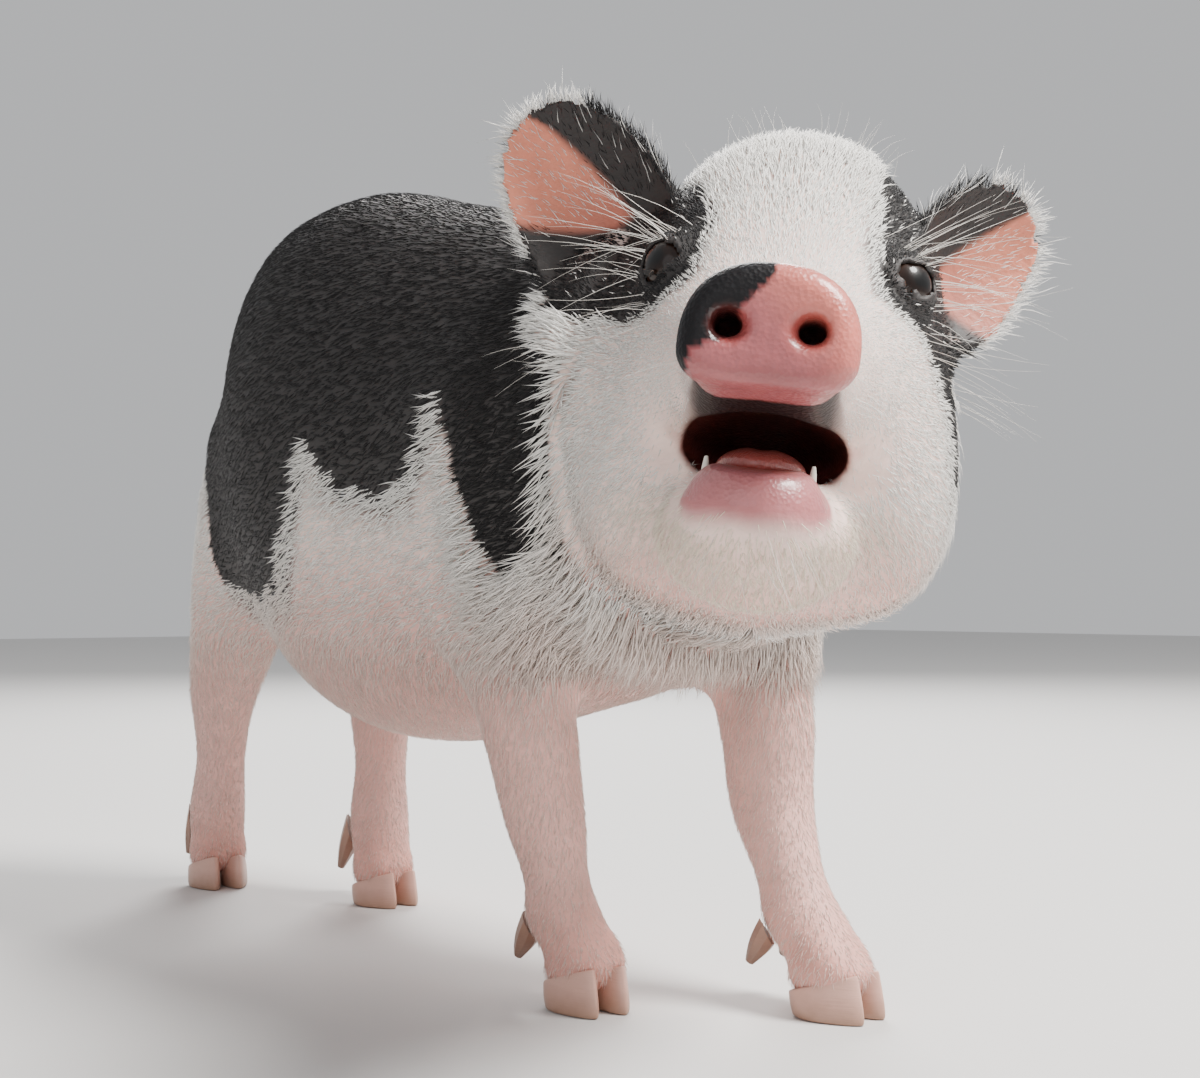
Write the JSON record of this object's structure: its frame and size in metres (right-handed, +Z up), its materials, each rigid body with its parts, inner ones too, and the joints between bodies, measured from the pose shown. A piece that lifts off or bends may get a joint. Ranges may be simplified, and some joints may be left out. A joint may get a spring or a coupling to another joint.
{
  "type": "young miniature pig model",
  "caption": "Life-size still model of a black and white miniature piglet, walking, head turned to its right, mouth open.",
  "frame": {"origin": "middle of the bounding box's bottom, on the floor under the hooves", "axes": "-Y forward along the trunk, +X to the pig's left, +Z up"},
  "size_m": [0.1414, 0.3676, 0.2326],
  "materials": {
    "head": "short white bristly hair over pink skin, black patches at the ears and eyes",
    "muzzle": "very short white hair over pink skin",
    "neck": "longer white hair",
    "chest": "white hair in front, black hair over the shoulders",
    "abdomen": "black saddle, white hair below",
    "hindquarters": "black saddle and thighs, white hair below",
    "nose": "moist pink skin with a black patch",
    "lower_jaw": "thinly haired pink skin",
    "tongue": "wet red skin",
    "teeth": "milk teeth, satin",
    "tail": "short black hair, white tip",
    "ears": "thin pink and dark skin with fine hair",
    "eyes": "glossy, dark brown",
    "legs": "short white hair over pink skin",
    "hooves": "satin horn, pinkish",
    "dewclaws": "satin horn, brown"
  },
  "bodies": {
    "root": {"abdomen": "abdomen", "chest": "chest", "claw_fore_left_left": "hooves", "claw_fore_left_right": "hooves", "claw_fore_right_left": "hooves", "claw_fore_right_right": "hooves", "claw_hind_left_left": "hooves", "claw_hind_left_right": "hooves", "claw_hind_right_left": "hooves", "claw_hind_right_right": "hooves", "dewclaw_fore_left_left": "dewclaws", "dewclaw_fore_left_right": "dewclaws", "dewclaw_fore_right_left": "dewclaws", "dewclaw_fore_right_right": "dewclaws", "dewclaw_hind_left_left": "dewclaws", "dewclaw_hind_left_right": "dewclaws", "dewclaw_hind_right_left": "dewclaws", "dewclaw_hind_right_right": "dewclaws", "ear_left": "ears", "ear_right": "ears", "eye_left": "eyes", "eye_right": "eyes", "forefoot_left": "legs", "forefoot_right": "legs", "foreleg_left": "legs", "foreleg_right": "legs", "head": "head", "hindfoot_left": "legs", "hindfoot_right": "legs", "hindleg_left": "legs", "hindleg_right": "legs", "hindquarters": "hindquarters", "lower_jaw": "lower_jaw", "muzzle": "muzzle", "neck": "neck", "nose_disc": "nose", "tail": "tail", "tongue": "tongue", "tooth_left": "teeth", "tooth_right": "teeth"}
  },
  "joints": []
}
